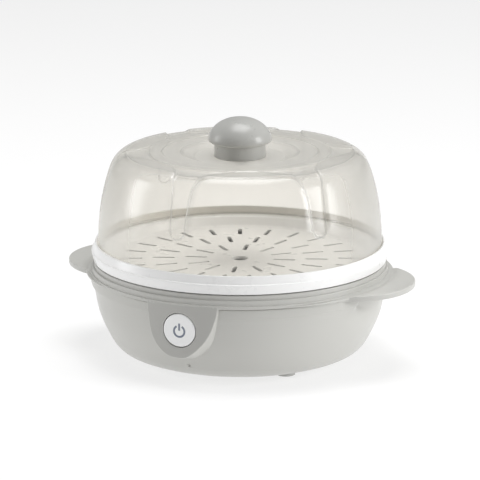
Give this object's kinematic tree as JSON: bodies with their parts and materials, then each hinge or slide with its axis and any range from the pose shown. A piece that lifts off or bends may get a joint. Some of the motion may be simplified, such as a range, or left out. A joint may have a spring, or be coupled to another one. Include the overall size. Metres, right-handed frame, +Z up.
{
  "type": "bottle sterilizer",
  "caption": "Round countertop steam sterilizer with a heated base, two side handles, a push button, a lift-out steam tray and a clear domed lid with a knob.",
  "frame": {"origin": "centre of the footprint, on the plane the four feet stand on", "axes": "+Z up; the front with the power button faces -Y and the power inlet faces +Y; the two carrying handles point along +X and -X"},
  "size_m": [0.2704, 0.2226, 0.1792],
  "materials": {
    "grey_shell": "warm light grey moulded polypropylene, satin",
    "basin_plastic": "off-white moulded polypropylene",
    "plate_steel": "spun stainless steel",
    "silicone": "moulded silicone",
    "zinc_steel": "zinc-plated steel",
    "brass_parts": "bare brass",
    "element_metal": "dull aluminium sheath",
    "black_plastic": "black phenolic or nylon",
    "fuse_ceramic": "cream ceramic",
    "foot_rubber": "grey rubber",
    "board_green": "green coated laminate",
    "relay_blue": "blue moulded case",
    "wire_red": "silicone insulated wire",
    "white_plastic": "white moulded polypropylene",
    "icon_grey": "grey-blue inlay",
    "plunger_red": "red nylon",
    "clear_lid": "translucent natural polypropylene",
    "knob_grey": "warm light grey moulded polypropylene, satin"
  },
  "bodies": {
    "base": {"outer_bowl": "grey_shell", "handle_collar": "grey_shell", "inner_basin": "basin_plastic", "heating_plate": "plate_steel", "plate_gasket": "silicone", "clamp_ring": "zinc_steel", "clamp_nuts": "brass_parts", "heating_element": "element_metal", "thermostat": "black_plastic", "thermal_fuse": "fuse_ceramic", "bottom_cover": "grey_shell", "cover_screws": "zinc_steel", "rubber_feet": "foot_rubber", "control_board": "board_green", "board_relay": "relay_blue", "board_capacitor": "black_plastic", "board_screws": "zinc_steel", "button_guide": "basin_plastic", "guide_screws": "zinc_steel", "button_spring": "zinc_steel", "micro_switch": "black_plastic", "switch_terminals": "brass_parts", "power_inlet": "black_plastic", "inlet_pins": "brass_parts", "wiring": "wire_red"},
    "button": {"power_button": "white_plastic", "button_icon": "icon_grey"},
    "plunger": {"switch_plunger": "plunger_red"},
    "tray": {"steam_tray": "white_plastic"},
    "lid": {"lid_dome": "clear_lid", "lid_knob": "knob_grey", "knob_screw": "zinc_steel", "knob_washer": "silicone"}
  },
  "joints": [
    {"name": "tray_lift", "type": "slide", "parent": "base", "child": "tray", "axis": [0, 0, 1], "range_m": [0, 0.12]},
    {"name": "lid_lift", "type": "slide", "parent": "tray", "child": "lid", "axis": [0, 0, 1], "range_m": [0, 0.15]},
    {"name": "button_press", "type": "slide", "parent": "base", "child": "button", "axis": [0, 1, 0], "range_m": [0, 0.0025], "stiffness_N_per_m": 400, "springref_m": -0.002, "deforming": ["button_spring"]},
    {"name": "plunger_press", "type": "slide", "parent": "base", "child": "plunger", "axis": [0, 1, 0], "range_m": [0, 0.0025]}
  ],
  "couplings": [
    {"joint": "plunger_press", "follows": "button_press", "ratio": 1}
  ]
}
